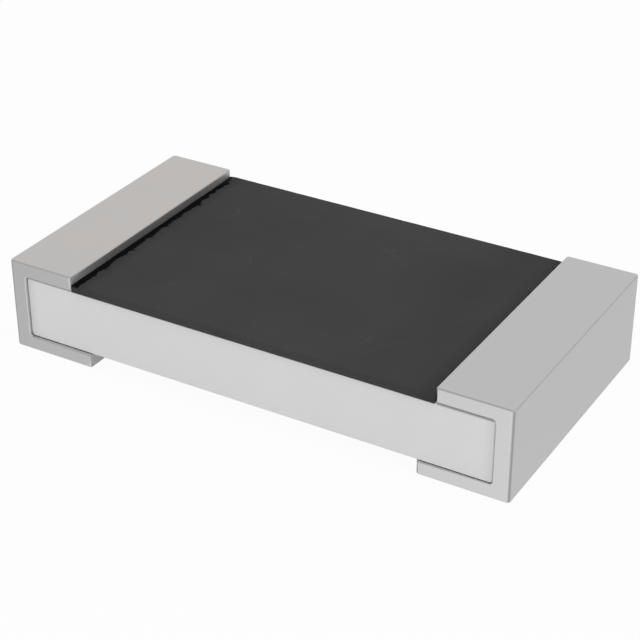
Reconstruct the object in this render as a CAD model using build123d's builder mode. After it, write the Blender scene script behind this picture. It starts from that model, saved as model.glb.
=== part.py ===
from build123d import *
import os

# A thick-film chip resistor of the metric 3216 size, for surface mounting.
# Millimetres. X runs along the chip, Y across it, Z up from the solder pads.
# The origin is the middle of the footprint, on the board's surface.

# Outside of the chip
overall_length = 3.10
overall_width = 1.614
overall_height = 0.551
top_band = 0.423
foot_band = 0.519
cap_edge_round = 0.010

# Metal layers of the two end caps, from the ceramic outwards
printed_thick = 0.010
edge_wrap_thick = 0.022
edge_face_thick = 0.048
nickel_thick = 0.020
tin_thick = 0.031

# Ceramic block
side_step = 0.014
block_end_round = 0.022
block_side_round = 0.012

# Resistive film and its laser trim
film_width = 1.10
film_thick = 0.008
electrode_tail = 0.107
film_overlap = 0.060
kerf_width = 0.040
kerf_from_middle = 0.350
kerf_plunge = 0.620
kerf_run = 0.480

# Two coats over the film
glass_margin = 0.020
glass_thick = 0.006
coat_thick = 0.038
coat_lap = 0.008
coat_round = 0.004
coat_corner_round = 0.008

# Places that follow from the sizes above
band_thick = printed_thick + edge_wrap_thick + nickel_thick + tin_thick
end_thick = edge_face_thick + nickel_thick + tin_thick
half_length = overall_length / 2
half_width = overall_width / 2
block_end = half_length - end_thick
block_side = half_width - side_step
block_low = band_thick
block_top = overall_height - band_thick
printed_end = block_end - block_end_round
printed_side = half_width - tin_thick - nickel_thick
band_edge = half_length - top_band
foot_edge = half_length - foot_band
electrode_edge = band_edge - electrode_tail
film_end = electrode_edge + film_overlap
glass_end = film_end + glass_margin
glass_side = film_width / 2 + glass_margin

os.makedirs("parts", exist_ok=True)


# Shapes that more than one piece is made from
def wrap_block(inset):
    """A C-shaped block around the right end of the ceramic, its outside set in by inset."""
    with BuildPart() as block:
        with BuildSketch(Plane.XZ) as section:
            with BuildLine():
                Polyline(
                    (band_edge + inset, block_top),
                    (band_edge + inset, overall_height - inset),
                    (half_length - inset, overall_height - inset),
                    (half_length - inset, inset),
                    (foot_edge + inset, inset),
                    (foot_edge + inset, block_low),
                    (block_end, block_low),
                    (block_end, block_top),
                    close=True,
                )
            make_face()
            fillet(section.vertices().group_by(Axis.X)[-2], radius=block_end_round)
        extrude(amount=half_width - inset, both=True)
    return block.part


def ridged_layer(end, side, thick):
    """A layer on the ceramic that climbs onto the printed electrodes at its two ends."""
    climb = electrode_edge - thick
    flat_top = block_top + thick
    with BuildPart() as layer:
        with BuildSketch(Plane.XZ):
            with BuildLine():
                Polyline(
                    (0, block_top),
                    (end, block_top),
                    (end, flat_top + printed_thick),
                    (climb, flat_top + printed_thick),
                    (climb, flat_top),
                    (0, flat_top),
                    close=True,
                )
            make_face()
            mirror(about=Plane.YZ)
        extrude(amount=side, both=True)
    return layer.part


def trim_kerf():
    """The L-shaped path that the laser burns through the glass and the film."""
    turn_y = kerf_plunge - film_width / 2
    with BuildPart() as kerf:
        with BuildSketch(Plane.XY.offset(block_top)):
            with BuildLine() as path:
                Polyline(
                    (-kerf_from_middle, -glass_side - kerf_width),
                    (-kerf_from_middle, turn_y),
                    (kerf_run - kerf_from_middle, turn_y),
                )
            trace(path.line, line_width=kerf_width)
        extrude(amount=coat_thick)
    return kerf.part


# Alumina block, set in a little from the caps' sides, which its rounded edges leave a fine groove along
with BuildPart() as alumina_substrate:
    with BuildSketch(Plane.XY.offset(block_low)):
        Rectangle(2 * block_end, 2 * block_side)
    extrude(amount=block_top - block_low)
    fillet(alumina_substrate.edges().filter_by(Axis.Y), radius=block_end_round)
    block_sides = alumina_substrate.faces().sort_by(Axis.Y)
    fillet(block_sides[0].edges() + block_sides[-1].edges(), radius=block_side_round)
alumina_substrate.part.label = "alumina_substrate"
export_step(alumina_substrate.part, "parts/alumina_substrate.step")

# Silver electrodes printed on the block's upper and lower faces, right end first
with BuildPart() as top_electrode_right:
    with BuildSketch(Plane.XY.offset(block_top)):
        with Locations(((electrode_edge + printed_end) / 2, 0)):
            Rectangle(printed_end - electrode_edge, 2 * printed_side)
    extrude(amount=printed_thick)
top_electrode_right.part.label = "top_electrode_right"
export_step(top_electrode_right.part, "parts/top_electrode_right.step")

with BuildPart() as top_electrode_left:
    mirror(top_electrode_right.part, about=Plane.YZ)
top_electrode_left.part.label = "top_electrode_left"
export_step(top_electrode_left.part, "parts/top_electrode_left.step")

with BuildPart() as bottom_electrode_right:
    lower_edge = foot_edge + tin_thick + nickel_thick
    with BuildSketch(Plane.XY.offset(block_low)):
        with Locations(((lower_edge + printed_end) / 2, 0)):
            Rectangle(printed_end - lower_edge, 2 * printed_side)
    extrude(amount=-printed_thick)
bottom_electrode_right.part.label = "bottom_electrode_right"
export_step(bottom_electrode_right.part, "parts/bottom_electrode_right.step")

with BuildPart() as bottom_electrode_left:
    mirror(bottom_electrode_right.part, about=Plane.YZ)
bottom_electrode_left.part.label = "bottom_electrode_left"
export_step(bottom_electrode_left.part, "parts/bottom_electrode_left.step")

# Ruthenium oxide film, its ends lapped on the upper electrodes, with the trim cut
with BuildPart() as resistive_film:
    add(ridged_layer(film_end, film_width / 2, film_thick))
    add(top_electrode_right.part, mode=Mode.SUBTRACT)
    add(top_electrode_left.part, mode=Mode.SUBTRACT)
    add(trim_kerf(), mode=Mode.SUBTRACT)
resistive_film.part.label = "resistive_film"
export_step(resistive_film.part, "parts/resistive_film.step")

# Glass printed over the film before the trim, so that the cut passes through it too
with BuildPart() as glass_coat:
    add(ridged_layer(glass_end, glass_side, film_thick + glass_thick))
    add(ridged_layer(film_end, film_width / 2, film_thick), mode=Mode.SUBTRACT)
    add(top_electrode_right.part, mode=Mode.SUBTRACT)
    add(top_electrode_left.part, mode=Mode.SUBTRACT)
    add(trim_kerf(), mode=Mode.SUBTRACT)
glass_coat.part.label = "glass_coat"
export_step(glass_coat.part, "parts/glass_coat.step")

# Black outer coat between the caps: it fills the trim cut and laps the block's long edges
with BuildPart() as protective_coat:
    with BuildSketch(Plane.XY.offset(block_top - coat_lap)):
        Rectangle(2 * band_edge, overall_width)
    extrude(amount=coat_lap + coat_thick)
    fillet(protective_coat.edges().filter_by(Axis.Z), radius=coat_corner_round)
    fillet(protective_coat.faces().sort_by(Axis.Z)[-1].edges(), radius=coat_round)
    add(alumina_substrate.part, mode=Mode.SUBTRACT)
    add(top_electrode_right.part, mode=Mode.SUBTRACT)
    add(top_electrode_left.part, mode=Mode.SUBTRACT)
    add(resistive_film.part, mode=Mode.SUBTRACT)
    add(glass_coat.part, mode=Mode.SUBTRACT)
protective_coat.part.label = "protective_coat"
export_step(protective_coat.part, "parts/protective_coat.step")

# Edge electrode: joins the upper and lower electrodes round the end of the block
with BuildPart() as edge_electrode_right:
    add(wrap_block(tin_thick + nickel_thick))
    add(top_electrode_right.part, mode=Mode.SUBTRACT)
    add(bottom_electrode_right.part, mode=Mode.SUBTRACT)
edge_electrode_right.part.label = "edge_electrode_right"
export_step(edge_electrode_right.part, "parts/edge_electrode_right.step")

with BuildPart() as edge_electrode_left:
    mirror(edge_electrode_right.part, about=Plane.YZ)
edge_electrode_left.part.label = "edge_electrode_left"
export_step(edge_electrode_left.part, "parts/edge_electrode_left.step")

# Nickel plated over every bare face of the electrodes
with BuildPart() as nickel_barrier_right:
    add(wrap_block(tin_thick))
    add(wrap_block(tin_thick + nickel_thick), mode=Mode.SUBTRACT)
    add(top_electrode_right.part, mode=Mode.SUBTRACT)
nickel_barrier_right.part.label = "nickel_barrier_right"
export_step(nickel_barrier_right.part, "parts/nickel_barrier_right.step")

with BuildPart() as nickel_barrier_left:
    mirror(nickel_barrier_right.part, about=Plane.YZ)
nickel_barrier_left.part.label = "nickel_barrier_left"
export_step(nickel_barrier_left.part, "parts/nickel_barrier_left.step")

# Tin plated over the nickel: the cap that is seen, with its arrises rounded
with BuildPart() as tin_cap_right:
    add(wrap_block(0))
    seats = tin_cap_right.edges().filter_by(Axis.Y).filter_by_position(Axis.Z, block_low, block_top)
    fillet(tin_cap_right.edges() - seats, radius=cap_edge_round)
    add(wrap_block(tin_thick), mode=Mode.SUBTRACT)
    add(top_electrode_right.part, mode=Mode.SUBTRACT)
tin_cap_right.part.label = "tin_cap_right"
export_step(tin_cap_right.part, "parts/tin_cap_right.step")

with BuildPart() as tin_cap_left:
    mirror(tin_cap_right.part, about=Plane.YZ)
tin_cap_left.part.label = "tin_cap_left"
export_step(tin_cap_left.part, "parts/tin_cap_left.step")
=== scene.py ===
import math

import bmesh
import bpy
from mathutils import Matrix, Vector, noise

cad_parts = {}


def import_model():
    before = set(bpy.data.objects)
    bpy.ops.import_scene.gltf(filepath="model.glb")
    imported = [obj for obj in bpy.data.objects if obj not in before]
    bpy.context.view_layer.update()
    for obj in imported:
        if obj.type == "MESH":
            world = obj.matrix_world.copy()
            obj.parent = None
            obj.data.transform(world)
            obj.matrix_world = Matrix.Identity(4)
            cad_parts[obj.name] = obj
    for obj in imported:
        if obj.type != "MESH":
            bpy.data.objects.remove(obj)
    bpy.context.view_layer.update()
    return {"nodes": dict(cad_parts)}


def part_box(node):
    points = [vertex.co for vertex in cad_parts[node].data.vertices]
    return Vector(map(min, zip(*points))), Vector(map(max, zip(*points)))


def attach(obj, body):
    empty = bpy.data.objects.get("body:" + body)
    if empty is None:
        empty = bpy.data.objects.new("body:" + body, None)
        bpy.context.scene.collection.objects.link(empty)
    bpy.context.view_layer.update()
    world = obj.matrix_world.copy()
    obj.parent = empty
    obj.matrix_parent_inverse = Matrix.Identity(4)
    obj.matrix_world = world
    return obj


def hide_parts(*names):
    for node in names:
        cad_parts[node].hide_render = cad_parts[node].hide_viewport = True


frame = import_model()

nodes = frame["nodes"]
MM = 0.001


def box_in_mm(node):
    """A CAD node's lowest and highest corner, in millimetres."""
    lowest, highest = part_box(node)
    return lowest / MM, highest / MM


# Sizes of the chip that the looks refer to, in millimetres
block_lowest, block_highest = box_in_mm("alumina_substrate")
cap_lowest, cap_highest = box_in_mm("tin_cap_right")
coat_highest = box_in_mm("protective_coat")[1]
HALF_WIDTH = cap_highest.y
CAP_END = cap_highest.x
CAP_TOP = cap_highest.z
FOOT_EDGE = cap_lowest.x
FOOT_LOW = cap_lowest.z
BAND_EDGE = coat_highest.x
COAT_TOP = coat_highest.z
BLOCK_SIDE = block_highest.y
BLOCK_END = block_highest.x
ARM_LOW = block_highest.z
FOOT_TOP = block_lowest.z

# Roundings of the caps' edges and of the block's ends, in millimetres
EDGE_ROUND = 0.010
BLOCK_ROUND = 0.022

# Two places nearer to each other than this, in millimetres, are the same
HAIR = 1e-6

# Camera, solved from the photograph's edges
IMAGE_SIDE = 640
CAMERA_AZIMUTH = math.radians(30.563)
CAMERA_ELEVATION = math.radians(30.054)
CAMERA_ROLL = math.radians(-0.117)
CAMERA_DISTANCE = 10.047 * MM
CAMERA_ASIDE = -0.011 * MM
CAMERA_RAISED = 0.1806 * MM
FOCAL_PIXELS = 1763.3
SENSOR_WIDTH = 36.0
CLIP_FACTOR = 100

# Studio: an even pale surround with soft patches, brighter or dimmer, spread in degrees
SURROUND = 0.74
PATCHES = (
    {"towards": (-0.34, -0.56, 0.75), "spread": 46, "amount": -0.30},
    {"towards": (-0.15, -0.82, -0.56), "spread": 34, "amount": 0.37},
    {"towards": (-0.85, -0.45, -0.30), "spread": 40, "amount": -0.34},
    {"towards": (0.82, -0.26, -0.51), "spread": 38, "amount": -0.34},
    {"towards": (0.62, 0.74, 0.27), "spread": 24, "amount": -0.36},
    {"towards": (0.40, 0.68, 0.61), "spread": 16, "amount": 0.14},
    {"towards": (0.44, 0.54, -0.72), "spread": 22, "amount": 0.07},
)

# Soft square lamps, their places and sides in millimetres
LAMPS = (
    {"name": "key", "place": (12, -4, 26), "side": 12, "watts": 0.0006},
    {"name": "fill", "place": (9, -28, 8), "side": 14, "watts": 0.0010},
)

# Floor: how white the camera sees it, and how much of it the metal sees beneath the chip
FLOOR_SIDE = 400 * MM
FLOOR_DROP = 0.002 * MM
FLOOR_ALBEDO = 0.92
FLOOR_WHITE_SHARE = 0.95
FLOOR_UNDER_SHARE = 0.62

# Places of the two colours and of the result on a colour mix node
MIX_FIRST = 6
MIX_SECOND = 7
MIX_RESULT = 2

# How much each finer layer of a grain's noise counts
GRAIN_ROUGHNESS = 0.55

# Plated tin. Lengths are in millimetres here and below, and a pair is the two ends of a range
LEFT_TIN = {"plain": (0.675, 0.675, 0.675), "warm": (0.695, 0.662, 0.640)}
RIGHT_TIN = {"plain": (0.665, 0.665, 0.665), "warm": (0.67, 0.67, 0.667)}
# A faint warm mottled tint, on the upward faces only
WARM_TINT_SIZE = 0.45
WARM_TINT_NOISE = (0.32, 0.60)
WARM_TINT_SHARE = (0.3, 1)
FACES_UP = (0.6, 0.9)
TIN_CRYSTALS = 0.010
TIN_BUMP = 0.0006
TIN_ROUGHNESS = (0.33, 0.41)

# Inner sides of the tin's upper bands: rougher, and more so at the front, its corner and the back
FACES_INWARD = (-0.43, -0.93)
BAND_HEIGHT = (0.45, 0.46)
INSIDE_ROUGHER = 0.14
FRONT_REACH = (-0.40, -HALF_WIDTH)
FRONT_ROUGHER = 0.15
CORNER_REACH = (-0.68, -HALF_WIDTH)
CORNER_HEIGHT = (0.50, 0.54)
CORNER_ROUGHER = 0.25
BACK_REACH = (0.40, HALF_WIDTH)
BACK_ROUGHER = 0.08

# Black print: mottled, a little cloudy, dimmer towards the ends, darkened beside the caps by painted shade,
# and faintly scuffed
PRINT_TONES = ((0.056, 0.056, 0.057), (0.064, 0.064, 0.064))
PRINT_ROUGHNESS = (0.45, 0.55)
PRINT_IOR = 1.12
MOTTLE_SIZE = 0.25
PEEL_SIZE = 0.035
PEEL_BUMP = 0.0010
CLOUD_SIZE = 0.60
CLOUD_LEVEL = (0.94, 1.08)
# The print darkens beside the caps as painted shade of the raised caps
BESIDE_CAPS = (BAND_EDGE - 0.13, BAND_EDGE - 0.04)
BESIDE_CAPS_SHADE = -0.13
NEAR_ENDS = (0.40, 1.00)
NEAR_LEVEL = -0.07
SCUFF_FIELD = 0.55
SCUFF_MIDDLE = 0.52
SCUFF_LINE = (0.010, 0.002)
SCUFF_SPOT = 0.40
SCUFF_KEPT = (0.50, 0.62)
SCUFF_LEVEL = 0.10

# Painted shade in the print's sunken margins by the caps
MARGIN_SHADE_TONES = ((0.004, 0.004, 0.004), (0.010, 0.010, 0.010))
MARGIN_SHADE_ROUGHNESS = 0.8
MARGIN_SHADE_IOR = 1.05

# Fired ceramic, with painted shade on its rounded edges inside the caps, under the arms and beside the bars
CERAMIC_TONES = ((0.82, 0.82, 0.82), (0.86, 0.86, 0.86))
CERAMIC_ROUGHNESS = (0.50, 0.62)
CERAMIC_CLOUD = 0.30
CERAMIC_CRYSTALS = 0.012
CERAMIC_BUMP = 0.0006
# Colour of the painted shade in the ceramic's crevices, under the arms and beside the bars
PAINTED_SHADE_TONE = (0.10, 0.10, 0.10)
GROOVE_OUTER = (0.0015, 0.007)
GROOVE_INNER = (0.020, 0.013)
GROOVE_ALONG = (FOOT_EDGE, FOOT_EDGE + 0.01)
UNDER_ARM = (ARM_LOW - 0.026, ARM_LOW - 0.010)
UNDER_ARM_ALONG = (BAND_EDGE - 0.002, BAND_EDGE + 0.004)
UNDER_ARM_SHARE = (0.30, 0.72)
BESIDE_BAR = (BLOCK_END - 0.07, BLOCK_END - 0.005)
BESIDE_BAR_SHARE = 0.12

# Inner metals
NICKEL = {"first": (0.55, 0.53, 0.48), "second": (0.60, 0.58, 0.52), "rough": 0.30}
SILVER = {"first": (0.69, 0.68, 0.66), "second": (0.76, 0.75, 0.72), "rough": 0.38}
METAL_CRYSTALS = 0.015
METAL_BUMP = 0.0005
METAL_ROUGH_SPAN = 0.1

# Inner prints
FILM = {"first": (0.04, 0.04, 0.05), "second": (0.07, 0.07, 0.08), "rough": 0.5}
GLASS = {"first": (0.08, 0.19, 0.14), "second": (0.12, 0.25, 0.18), "rough": 0.2}
FLOW_SIZE = 0.05
FLOW_BUMP = 0.001
FLOW_ROUGH_SPAN = 0.12

# Form of the black coat: its top sinks into a margin a little short of each cap, in a ragged line, and the
# margin is painted near-black as shade
MARGIN_WIDTH = {"left": 0.046, "right": 0.026}
MARGIN_DEEP = 0.005
MARGIN_SLOPE = 0.005
MARGIN_RAGGED = 0.008
RAGGED_WAVES = (
    {"long": 0.055, "seed": 3.7, "high": 1.0},
    {"long": 0.021, "seed": 8.7, "high": 0.6},
    {"long": 0.011, "seed": 1.9, "high": 0.4},
)

# How a margin tapers towards each end of a cap: over some length, to the share that is kept there
MARGIN_ENDS = {
    "left front": {"over": 0.001, "kept": 1.0},
    "left back": {"over": 0.120, "kept": 0.5},
    "right front": {"over": 0.100, "kept": 0.0},
    "right back": {"over": 0.060, "kept": 0.0},
}

# Fine relief of the print, and the noise of the coat's form: its layer, between the lattice's, and gain
PRINT_RELIEF = 0.0005
RELIEF_SIZE = 0.05
NOISE_LAYER = 0.5
NOISE_GAIN = 2

# How finely the coat's skin is cut, near the caps and between them, and across its width
FINE_STEP = 0.005
FINE_REACH = 0.060
BROAD_STEP = 0.030
ROW_STEP = 0.007

# Depth of the rim round the coat's top, and the least upward part of a rim's and a flat face's normal
RIM_DEEP = 0.0045
RIM_NORMAL = 0.05
FLAT_NORMAL = 0.999

# Faces whose normals are further apart than this keep a crease between them
CREASE_COSINE = math.cos(math.radians(50))

# Upright edges of the caps, which the plating rounds a little more than the others
UPRIGHT_EDGES = (
    {"corner": CAP_END, "outward": 1, "low": FOOT_LOW, "high": CAP_TOP, "wider": 0.020},
    {"corner": BAND_EDGE, "outward": -1, "low": ARM_LOW, "high": CAP_TOP, "wider": 0.014},
    {"corner": FOOT_EDGE, "outward": -1, "low": FOOT_LOW, "high": FOOT_TOP, "wider": 0.015},
)

# The edge above each foot is rounded less than the others, to this share of their rounding
LEDGE_SHARE = 0.30

# How far the plating's lip reaches in over the ceramic's rounded edges
LIP = 0.005

# How far the plating is uneven: a longer band or foot, and a front that is set in
UNEVEN = {
    "cap_left": {"band": 0.000, "foot": 0.008, "front": 0.000},
    "cap_right": {"band": 0.006, "foot": 0.008, "front": 0.008},
}

# Length over which an end of the coat is drawn back from a longer band
UNEVEN_REACH = 0.080


class Tree:
    """A short way to add nodes to a material or a world, and to link them."""

    def __init__(self, owner):
        owner.use_nodes = True
        self.nodes = owner.node_tree.nodes
        self.links = owner.node_tree.links
        self.nodes.clear()

    def add(self, kind, settings=None, **inputs):
        """Adds a node. Its inputs, named with _ for a space, are sockets to link or constants."""
        node = self.nodes.new(kind)
        for name, value in (settings or {}).items():
            setattr(node, name, value)
        for name, value in inputs.items():
            self.feed(node.inputs[name.replace("_", " ")], value)
        return node

    def feed(self, socket, value):
        """Links an input to another node's output, or sets it to a constant."""
        if isinstance(value, bpy.types.NodeSocket):
            self.links.new(value, socket)
        else:
            socket.default_value = value

    def math(self, operation, *values):
        """The result of an operation on one or two numbers."""
        node = self.nodes.new("ShaderNodeMath")
        node.operation = operation
        for socket, value in zip(node.inputs, values):
            self.feed(socket, value)
        return node.outputs[0]

    def plus(self, first, second):
        """The sum of two numbers."""
        return self.math("ADD", first, second)

    def times(self, first, second):
        """The product of two numbers."""
        return self.math("MULTIPLY", first, second)

    def scaled(self, vector, factor):
        """A vector or a colour times a number."""
        node = self.add("ShaderNodeVectorMath", {"operation": "SCALE"}, Scale=factor)
        self.feed(node.inputs[0], vector)
        return node.outputs[0]

    def mix(self, factor, first, second):
        """A mix of two shaders."""
        node = self.nodes.new("ShaderNodeMixShader")
        for socket, value in zip(node.inputs, (factor, first, second)):
            self.feed(socket, value)
        return node.outputs[0]


def camera():
    """Puts the camera where the photograph was taken from."""
    back = Vector((
        math.sin(CAMERA_AZIMUTH) * math.cos(CAMERA_ELEVATION),
        -math.cos(CAMERA_AZIMUTH) * math.cos(CAMERA_ELEVATION),
        math.sin(CAMERA_ELEVATION),
    ))
    right = Vector((0, 0, 1)).cross(back).normalized()
    up = back.cross(right)
    tilted_right = right * math.cos(CAMERA_ROLL) + up * math.sin(CAMERA_ROLL)
    tilted_up = up * math.cos(CAMERA_ROLL) - right * math.sin(CAMERA_ROLL)
    data = bpy.data.cameras.new("camera")
    data.sensor_width = SENSOR_WIDTH
    data.lens = SENSOR_WIDTH * FOCAL_PIXELS / IMAGE_SIDE
    data.clip_start = CAMERA_DISTANCE / CLIP_FACTOR
    data.clip_end = CAMERA_DISTANCE * CLIP_FACTOR
    made = bpy.data.objects.new("camera", data)
    bpy.context.scene.collection.objects.link(made)
    turn = Matrix((tilted_right, tilted_up, back)).transposed().to_4x4()
    eye = back * CAMERA_DISTANCE + tilted_right * CAMERA_ASIDE + tilted_up * CAMERA_RAISED
    made.matrix_world = Matrix.Translation(eye) @ turn
    bpy.context.scene.camera = made


def patch(tree, direction, towards, spread, amount):
    """A smooth patch of the surround, amount brighter at its middle and spread degrees to its edge."""
    facing = tree.add("ShaderNodeVectorMath", {"operation": "DOT_PRODUCT"})
    tree.feed(facing.inputs[0], direction)
    facing.inputs[1].default_value = Vector(towards).normalized()
    rise = tree.add("ShaderNodeMapRange", {"interpolation_type": "SMOOTHSTEP"},
                    Value=facing.outputs["Value"], From_Min=math.cos(math.radians(spread)), To_Max=amount)
    return rise.outputs[0]


def world():
    """The surround: white to the camera, and pale with soft patches for light and reflections."""
    made = bpy.data.worlds.new("studio")
    bpy.context.scene.world = made
    tree = Tree(made)
    ray = tree.add("ShaderNodeLightPath")
    direction = tree.add("ShaderNodeTexCoord").outputs["Generated"]
    level = SURROUND
    for one in PATCHES:
        level = tree.plus(level, patch(tree, direction, **one))
    strength = tree.math("MAXIMUM", level, ray.outputs["Is Camera Ray"])
    background = tree.add("ShaderNodeBackground", Color=(1, 1, 1, 1), Strength=strength)
    tree.add("ShaderNodeOutputWorld", Surface=background.outputs[0])


def lamp(name, place, side, watts):
    """A large soft lamp that faces the chip. The metal mirrors the surround alone."""
    data = bpy.data.lights.new(name, "AREA")
    data.size = side * MM
    data.energy = watts
    made = bpy.data.objects.new(name, data)
    bpy.context.scene.collection.objects.link(made)
    made.visible_glossy = False
    spot = Vector(place) * MM
    made.matrix_world = Matrix.Translation(spot) @ spot.to_track_quat("Z", "Y").to_matrix().to_4x4()


def place_in_mm(tree):
    """Coordinates on the chip in millimetres."""
    return tree.scaled(tree.add("ShaderNodeTexCoord").outputs["Object"], 1 / MM)


def apart(tree, vector):
    """The X, Y and Z outputs of a vector."""
    return tree.add("ShaderNodeSeparateXYZ", Vector=vector).outputs


def beneath_chip(tree):
    """A number that is 1 beneath the chip, between its feet, and 0 elsewhere."""
    spot = apart(tree, place_in_mm(tree))
    between_feet = tree.math("LESS_THAN", tree.math("ABSOLUTE", spot["X"]), FOOT_EDGE)
    between_sides = tree.math("LESS_THAN", tree.math("ABSOLUTE", spot["Y"]), HALF_WIDTH)
    return tree.times(between_feet, between_sides)


def floor_material():
    """White to the camera but for the chip's soft shadow. The metal sees it only beneath the chip."""
    material = bpy.data.materials.new("floor")
    tree = Tree(material)
    ray = tree.add("ShaderNodeLightPath").outputs
    plain = tree.add("ShaderNodeBsdfDiffuse", Color=(FLOOR_ALBEDO, FLOOR_ALBEDO, FLOOR_ALBEDO, 1))
    white = tree.add("ShaderNodeEmission", Strength=1.0)
    clear = tree.add("ShaderNodeBsdfTransparent")
    whitened = tree.times(ray["Is Camera Ray"], FLOOR_WHITE_SHARE)
    surface = tree.mix(whitened, plain.outputs[0], white.outputs[0])
    unseen = tree.math("SUBTRACT", 1.0, tree.times(beneath_chip(tree), FLOOR_UNDER_SHARE))
    surface = tree.mix(tree.times(ray["Is Glossy Ray"], unseen), surface, clear.outputs[0])
    tree.add("ShaderNodeOutputMaterial", Surface=surface)
    return material


def floor():
    """A plain pale floor, just below the chip's feet."""
    shape = bmesh.new()
    bmesh.ops.create_grid(shape, x_segments=1, y_segments=1, size=FLOOR_SIDE / 2)
    mesh = bpy.data.meshes.new("floor")
    shape.to_mesh(mesh)
    shape.free()
    mesh.materials.append(floor_material())
    made = bpy.data.objects.new("floor", mesh)
    made.location.z = -FLOOR_DROP
    bpy.context.scene.collection.objects.link(made)


def grain(tree, place, size, detail=2.0):
    """Noise of about the given size in millimetres, from 0 to 1."""
    made = tree.add("ShaderNodeTexNoise", Vector=place, Scale=1 / size, Detail=detail,
                    Roughness=GRAIN_ROUGHNESS)
    return made.outputs["Fac"]


def blend_of(tree, value, low, high, start=0.3, end=0.7):
    """A number that goes from low to high as a value goes from start to end, and stays between them."""
    return tree.add("ShaderNodeMapRange", Value=value, From_Min=start, From_Max=end,
                    To_Min=low, To_Max=high).outputs[0]


def step(tree, value, start, end):
    """A smooth rise from 0 at start to 1 at end."""
    return tree.add("ShaderNodeMapRange", {"interpolation_type": "SMOOTHSTEP"},
                    Value=value, From_Min=start, From_Max=end).outputs[0]


def tone(tree, factor, first, second):
    """A colour between two, each of them a socket or three numbers."""
    mixed = tree.add("ShaderNodeMix", {"data_type": "RGBA"}, Factor=factor)
    for place, colour in ((MIX_FIRST, first), (MIX_SECOND, second)):
        linked = isinstance(colour, bpy.types.NodeSocket)
        tree.feed(mixed.inputs[place], colour if linked else (*colour, 1))
    return mixed.outputs[MIX_RESULT]


def bumps(tree, height, distance):
    """A bump normal of the given height in millimetres."""
    return tree.add("ShaderNodeBump", Height=height, Distance=distance * MM, Strength=1.0).outputs["Normal"]


def principled(tree, **inputs):
    """The output of a principled shader."""
    return tree.add("ShaderNodeBsdfPrincipled", **inputs).outputs[0]


def new_finish(name):
    """A new material, its node tree, and the coordinates on the chip in that tree."""
    material = bpy.data.materials.new(name)
    tree = Tree(material)
    return material, tree, place_in_mm(tree)


def rougher_inside(tree, spot):
    """How much rougher the tin is on the inner sides of its upper bands."""
    front = tree.times(step(tree, spot["Y"], *FRONT_REACH), FRONT_ROUGHER)
    back = tree.times(step(tree, spot["Y"], *BACK_REACH), BACK_ROUGHER)
    corner = tree.times(step(tree, spot["Y"], *CORNER_REACH), step(tree, spot["Z"], *CORNER_HEIGHT))
    front = tree.plus(front, tree.times(corner, CORNER_ROUGHER))
    return tree.plus(tree.plus(front, back), INSIDE_ROUGHER)


def tin(name, plain, warm):
    """Matte plated tin: fine grain, a faint warm mottled tint on its upward faces, and rougher inner sides
    by the coat.
    """
    material, tree, place = new_finish(name)
    spot = apart(tree, place)
    facing = apart(tree, tree.add("ShaderNodeNewGeometry").outputs["Normal"])
    warm_tint = blend_of(tree, grain(tree, place, WARM_TINT_SIZE, detail=3.0), *WARM_TINT_SHARE, *WARM_TINT_NOISE)
    warm_tint = tree.times(warm_tint, step(tree, facing["Z"], *FACES_UP))
    crystals = grain(tree, place, TIN_CRYSTALS, detail=3.0)
    outward = tree.times(facing["X"], tree.math("SIGN", spot["X"]))
    inner = tree.times(step(tree, outward, *FACES_INWARD), step(tree, spot["Z"], *BAND_HEIGHT))
    rougher = tree.times(inner, rougher_inside(tree, spot))
    surface = principled(tree, Base_Color=tone(tree, warm_tint, plain, warm), Metallic=1.0,
                         Roughness=tree.plus(blend_of(tree, crystals, *TIN_ROUGHNESS), rougher),
                         Normal=bumps(tree, crystals, TIN_BUMP))
    tree.add("ShaderNodeOutputMaterial", Surface=surface)
    return material


def scuffs(tree, place):
    """Sparse thin curved lines, from 0 to 1: the level lines of a broad noise, kept in a few spots."""
    field = grain(tree, place, SCUFF_FIELD, detail=1.0)
    off = tree.math("ABSOLUTE", tree.math("SUBTRACT", field, SCUFF_MIDDLE))
    line = step(tree, off, *SCUFF_LINE)
    return tree.times(line, step(tree, grain(tree, place, SCUFF_SPOT), *SCUFF_KEPT))


def print_tone_and_shade(tree, place):
    """How bright the black print is, as a share: cloudy, dimmer towards the ends, darkened beside the caps
    by painted shade, and scuffed.
    """
    along = tree.math("ABSOLUTE", apart(tree, place)["X"])
    cloud = blend_of(tree, grain(tree, place, CLOUD_SIZE), *CLOUD_LEVEL)
    shade_beside_caps = tree.times(step(tree, along, *BESIDE_CAPS), BESIDE_CAPS_SHADE)
    ends = tree.times(step(tree, along, *NEAR_ENDS), NEAR_LEVEL)
    level = tree.times(cloud, tree.plus(tree.plus(shade_beside_caps, ends), 1.0))
    return tree.plus(level, tree.times(scuffs(tree, place), SCUFF_LEVEL))


def black_coat():
    """Matte black print with a slight orange peel, and painted near-black shade in its sunken margins."""
    material, tree, place = new_finish("black_coat")
    mottle = grain(tree, place, MOTTLE_SIZE, detail=4.0)
    peel = grain(tree, place, PEEL_SIZE)
    colour = tree.scaled(tone(tree, mottle, *PRINT_TONES), print_tone_and_shade(tree, place))
    skin = principled(tree, Base_Color=colour, Roughness=blend_of(tree, mottle, *PRINT_ROUGHNESS),
                      IOR=PRINT_IOR, Normal=bumps(tree, peel, PEEL_BUMP))
    margin_shade = principled(tree, Base_Color=tone(tree, peel, *MARGIN_SHADE_TONES), Roughness=MARGIN_SHADE_ROUGHNESS,
                      IOR=MARGIN_SHADE_IOR)
    # The margin's near-black is painted shade
    margin = tree.add("ShaderNodeAttribute", {"attribute_name": "painted_shade_margin"}).outputs["Fac"]
    tree.add("ShaderNodeOutputMaterial", Surface=tree.mix(margin, skin, margin_shade))
    return material


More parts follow.
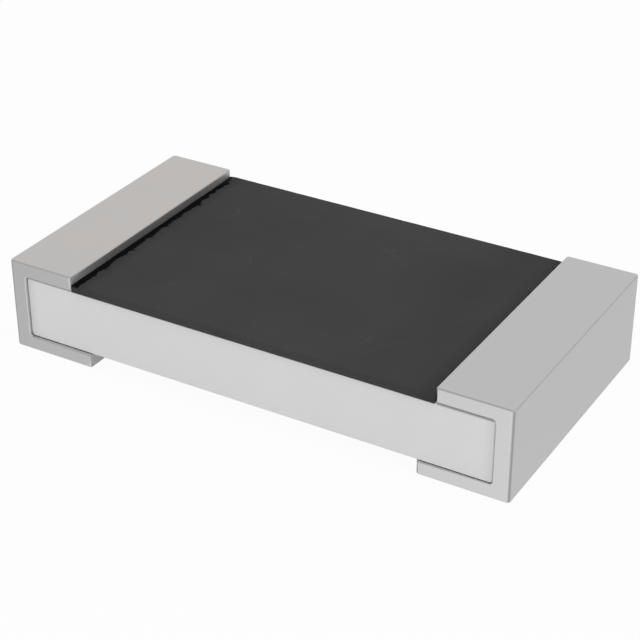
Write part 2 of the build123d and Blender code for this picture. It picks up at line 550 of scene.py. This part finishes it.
def painted_shade_share(tree, place):
    """How much painted shade darkens the ceramic, from 0 to 1: in the groove, under the arms and beside the
    bars.
    """
    spot = apart(tree, place)
    along = tree.math("ABSOLUTE", spot["X"])
    inward = tree.math("SUBTRACT", BLOCK_SIDE, tree.math("ABSOLUTE", spot["Y"]))
    groove = tree.times(step(tree, inward, *GROOVE_OUTER), step(tree, inward, *GROOVE_INNER))
    groove = tree.times(groove, step(tree, along, *GROOVE_ALONG))
    strong = blend_of(tree, along, *UNDER_ARM_SHARE, *UNDER_ARM_ALONG)
    under_arm = tree.times(step(tree, spot["Z"], *UNDER_ARM), strong)
    beside_bar = tree.times(step(tree, along, *BESIDE_BAR), BESIDE_BAR_SHARE)
    return tree.math("MAXIMUM", tree.math("MAXIMUM", groove, under_arm), beside_bar)


def fired_ceramic():
    """White alumina: fine matte grain, faint cloudy tones, and painted shade on the rounded edges inside
    the caps.
    """
    material, tree, place = new_finish("fired_ceramic")
    clouds = grain(tree, place, CERAMIC_CLOUD, detail=3.0)
    crystals = grain(tree, place, CERAMIC_CRYSTALS, detail=3.0)
    pale = tone(tree, clouds, *CERAMIC_TONES)
    surface = principled(tree, Base_Color=tone(tree, painted_shade_share(tree, place), pale, PAINTED_SHADE_TONE),
                         Roughness=blend_of(tree, crystals, *CERAMIC_ROUGHNESS),
                         Normal=bumps(tree, crystals, CERAMIC_BUMP))
    tree.add("ShaderNodeOutputMaterial", Surface=surface)
    return material


def satin_metal(name, first, second, rough):
    """An inner metal layer: plated nickel or fired silver."""
    material, tree, place = new_finish(name)
    crystals = grain(tree, place, METAL_CRYSTALS, detail=3.0)
    surface = principled(tree, Base_Color=tone(tree, crystals, first, second), Metallic=1.0,
                         Roughness=blend_of(tree, crystals, rough, rough + METAL_ROUGH_SPAN),
                         Normal=bumps(tree, crystals, METAL_BUMP))
    tree.add("ShaderNodeOutputMaterial", Surface=surface)
    return material


def fired_print(name, first, second, rough):
    """An inner printed layer: the resistive film or the glass over it."""
    material, tree, place = new_finish(name)
    flow = grain(tree, place, FLOW_SIZE, detail=4.0)
    surface = principled(tree, Base_Color=tone(tree, flow, first, second),
                         Roughness=blend_of(tree, flow, rough, rough + FLOW_ROUGH_SPAN),
                         Normal=bumps(tree, flow, FLOW_BUMP))
    tree.add("ShaderNodeOutputMaterial", Surface=surface)
    return material


def numbers_to(end, pitch):
    """Evenly spaced places between -end and end, about a pitch apart."""
    count = max(1, round(2 * end / pitch))
    return [2 * end * index / count - end for index in range(1, count)]


def sliced(shape, faces, axis, places):
    """Cuts faces square to an axis at rising places in millimetres, and returns all their parts."""
    done = []
    square = Vector((0, 0, 0))
    square[axis] = 1
    for place in places:
        parts = dict.fromkeys(faces)
        for face in faces:
            parts.update(dict.fromkeys(face.edges))
            parts.update(dict.fromkeys(face.verts))
        cut = bmesh.ops.bisect_plane(shape, geom=list(parts), dist=HAIR * MM,
                                     plane_co=square * place * MM, plane_no=square)
        faces = [part for part in cut["geom"] if isinstance(part, bmesh.types.BMFace)]
        middles = [face.calc_center_median()[axis] / MM for face in faces]
        done += [face for face, middle in zip(faces, middles) if middle < place]
        faces = [face for face, middle in zip(faces, middles) if middle >= place]
    return done + faces


def smooth_noise(value, seed):
    """A wavy number from about -1 to 1 that turns over about once for each unit of value."""
    return noise.noise(Vector((value, seed, NOISE_LAYER))) * NOISE_GAIN


def margin_depth(spot):
    """How deep the sunken margin, painted dark as shade, is at a spot on the coat, from 0 to 1."""
    side = "right" if spot.x > 0 else "left"
    end = MARGIN_ENDS[side + (" back" if spot.y > 0 else " front")]
    from_cap = BAND_EDGE - abs(spot.x)
    from_edge = HALF_WIDTH - abs(spot.y)
    ragged = sum(wave["high"] * smooth_noise(spot.y / wave["long"], wave["seed"]) for wave in RAGGED_WAVES)
    taper = end["kept"] + (1 - end["kept"]) * min(1, from_edge / end["over"])
    width = taper * (MARGIN_WIDTH[side] + MARGIN_RAGGED * ragged)
    return taper * min(1.0, max(0.0, 0.5 + (width - from_cap) / MARGIN_SLOPE))


def welded_copy(node):
    """A CAD node's mesh, joined up again along its hard edges."""
    shape = bmesh.new()
    shape.from_mesh(nodes[node].data)
    bmesh.ops.remove_doubles(shape, verts=shape.verts, dist=HAIR * MM)
    return shape


def corner_normals(shape):
    """A normal for each face corner that follows the largest faces there, so that flat faces stay flat."""
    weights = {face: (face.calc_area() / MM ** 2) ** 2 for face in shape.faces}
    normals = []
    for face in shape.faces:
        for loop in face.loops:
            total = Vector((0, 0, 0))
            for near in loop.vert.link_faces:
                if near.normal.dot(face.normal) > CREASE_COSINE:
                    total += near.normal * weights[near]
            normals.append(total.normalized())
    return normals


def dressed_piece(shape, name, node, material):
    """Puts a finished shape in the place of a CAD node, with smooth roundings and flat faces."""
    shape.normal_update()
    for face in shape.faces:
        face.smooth = True
        face.material_index = 0
    normals = corner_normals(shape)
    mesh = bpy.data.meshes.new(name)
    shape.to_mesh(mesh)
    shape.free()
    mesh.normals_split_custom_set(normals)
    mesh.materials.append(material)
    piece = bpy.data.objects.new(name, mesh)
    bpy.context.scene.collection.objects.link(piece)
    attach(piece, "root")
    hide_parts(node)


def rounder_edge(vertex, side, corner, outward, low, high, wider):
    """Moves a vertex of a cap's upright edge in to the wider rounding, at its own height."""
    spot = vertex.co / MM
    old = Vector((corner - outward * EDGE_ROUND, HALF_WIDTH - EDGE_ROUND))
    new = Vector((corner - outward * wider, HALF_WIDTH - wider))
    from_old = Vector((spot.x * side, abs(spot.y))) - old
    if from_old.x * outward < -HAIR or from_old.y < -HAIR or not low - HAIR <= spot.z <= high + HAIR:
        return
    towards = from_old.normalized() if from_old.length > HAIR else Vector((outward, 1)).normalized()
    placed = new + towards * (from_old.length + wider - EDGE_ROUND)
    vertex.co.x = placed.x * side * MM
    vertex.co.y = math.copysign(placed.y, spot.y) * MM


def from_opening(spot, side):
    """The way outwards from a cap's opening at a spot, and how far beyond the opening's outline it lies."""
    along = spot.x * side
    inside = Vector((min(along, BLOCK_END - BLOCK_ROUND),
                     min(max(spot.z, FOOT_TOP + BLOCK_ROUND), ARM_LOW - BLOCK_ROUND)))
    outward = Vector((along, spot.z)) - inside
    return outward.normalized(), outward.length - BLOCK_ROUND


def on_opening_round(spot, beyond):
    """Tells whether a spot is on the rounding between a cap's opening and its front or back."""
    near_outline = abs(beyond - EDGE_ROUND / 2) < EDGE_ROUND / 2 + HAIR
    near_side = HALF_WIDTH - abs(spot.y) < EDGE_ROUND + HAIR
    return near_outline and near_side


def sharper_ledge(vertex, side):
    """Moves a vertex of the rounding above a cap's foot towards the edge it rounds, less so up the bar."""
    spot = vertex.co / MM
    outward, beyond = from_opening(spot, side)
    at_tip = spot.x * side < FOOT_EDGE + 2 * EDGE_ROUND
    if at_tip or outward.y > -HAIR or not on_opening_round(spot, beyond):
        return
    moved = (LEDGE_SHARE - 1) * -outward.y
    vertex.co.x += outward.x * beyond * moved * side * MM
    vertex.co.z += outward.y * beyond * moved * MM
    vertex.co.y -= math.copysign((HALF_WIDTH - abs(spot.y)) * moved, spot.y) * MM


def lipped(vertex, side):
    """Moves a vertex of an opening's rounding in over the ceramic, but not at the foot's ledge."""
    spot = vertex.co / MM
    outward, beyond = from_opening(spot, side)
    if on_opening_round(spot, beyond):
        reach = LIP * min(1, 1 + outward.y)
        vertex.co.x -= outward.x * reach * side * MM
        vertex.co.z -= outward.y * reach * MM


def uneven_plating(vertex, side, band, foot, front):
    """Moves a vertex near a cap's inner edges or on its front, as the plating is a little uneven."""
    spot = vertex.co / MM
    rounded = 2 * EDGE_ROUND + HAIR
    if spot.z > ARM_LOW - HAIR and spot.x * side < BAND_EDGE + rounded:
        vertex.co.x -= band * side * MM
    if spot.z < FOOT_TOP + HAIR and spot.x * side < FOOT_EDGE + rounded:
        vertex.co.x -= foot * side * MM
    if spot.y < rounded - HALF_WIDTH:
        vertex.co.y += front * MM


def cap_piece(name, side, material):
    """A tin cap: the node's own form with the plating's roundings, ledge, lip and unevenness."""
    shape = welded_copy("tin_" + name)
    for vertex in shape.verts:
        sharper_ledge(vertex, side)
        lipped(vertex, side)
        for edge in UPRIGHT_EDGES:
            rounder_edge(vertex, side, **edge)
        uneven_plating(vertex, side, **UNEVEN[name])
    dressed_piece(shape, "plated_" + name, "tin_" + name, material)


def on_flat_top(face):
    """Tells whether a face is part of the coat's flat top."""
    return face.normal.z > FLAT_NORMAL and COAT_TOP - face.calc_center_median().z / MM < HAIR


def on_skin(face):
    """Tells whether a face is on the coat's top, on the rim round it, or on a long side."""
    middle = face.calc_center_median() / MM
    on_top = face.normal.z > RIM_NORMAL and middle.z > COAT_TOP - RIM_DEEP
    return on_top or HALF_WIDTH - abs(middle.y) < HAIR


def coat_columns():
    """Where the coat's skin is cut across, in millimetres: finely near the caps, broadly between them."""
    near_caps = numbers_to(FINE_REACH / 2, FINE_STEP)
    columns = [place - BAND_EDGE + FINE_REACH / 2 for place in near_caps]
    columns += numbers_to(BAND_EDGE - FINE_REACH, BROAD_STEP)
    columns += [place + BAND_EDGE - FINE_REACH / 2 for place in near_caps]
    return columns


def printed(vertex, margin):
    """Sinks a vertex of the coat's top by the relief and the sunken margin, and marks how much painted
    shade it gets.
    """
    spot = vertex.co / MM
    if spot.z > COAT_TOP - RIM_DEEP:
        depth = margin_depth(spot)
        vertex[margin] = depth if HALF_WIDTH - abs(spot.y) > HAIR else 0
        relief = smooth_noise(spot.x / RELIEF_SIZE, spot.y / RELIEF_SIZE) - 1
        vertex.co.z += (PRINT_RELIEF * relief / 2 - MARGIN_DEEP * depth) * MM


def drawn_back(vertex):
    """Moves a vertex near an end of the coat back from a longer band."""
    near_end = abs(vertex.co.x) / MM - BAND_EDGE + UNEVEN_REACH
    if near_end > 0:
        cap = "cap_right" if vertex.co.x > 0 else "cap_left"
        moved = UNEVEN[cap]["band"] * near_end / UNEVEN_REACH
        vertex.co.x -= math.copysign(moved * MM, vertex.co.x)


def coat_piece(material):
    """The black coat: the node's own form with its skin cut fine, a print relief and bare margins."""
    shape = welded_copy("protective_coat")
    bmesh.ops.dissolve_faces(shape, faces=[face for face in shape.faces if on_flat_top(face)])
    skin = sliced(shape, [face for face in shape.faces if on_skin(face)], 0, coat_columns())
    sliced(shape, skin, 1, numbers_to(HALF_WIDTH, ROW_STEP))
    margin = shape.verts.layers.float.new("painted_shade_margin")
    for vertex in shape.verts:
        printed(vertex, margin)
        drawn_back(vertex)
    dressed_piece(shape, "printed_coat", "protective_coat", material)


def dress(material, *names):
    """Puts a material on CAD nodes."""
    for name in names:
        for slot in nodes[name].material_slots:
            slot.material = material


camera()
world()
for one in LAMPS:
    lamp(**one)
floor()
left_tin = tin("tin_left", **LEFT_TIN)
right_tin = tin("tin_right", **RIGHT_TIN)
dress(left_tin, "tin_cap_left")
dress(right_tin, "tin_cap_right")
cap_piece("cap_left", -1, left_tin)
cap_piece("cap_right", 1, right_tin)
coat_finish = black_coat()
dress(coat_finish, "protective_coat")
coat_piece(coat_finish)
dress(fired_ceramic(), "alumina_substrate")
dress(satin_metal("nickel", **NICKEL), "nickel_barrier_left", "nickel_barrier_right")
dress(satin_metal("silver", **SILVER),
      "edge_electrode_left", "edge_electrode_right", "top_electrode_left", "top_electrode_right",
      "bottom_electrode_left", "bottom_electrode_right")
dress(fired_print("resistive_film", **FILM), "resistive_film")
dress(fired_print("glass_coat", **GLASS), "glass_coat")
bpy.context.scene.view_settings.view_transform = "Standard"
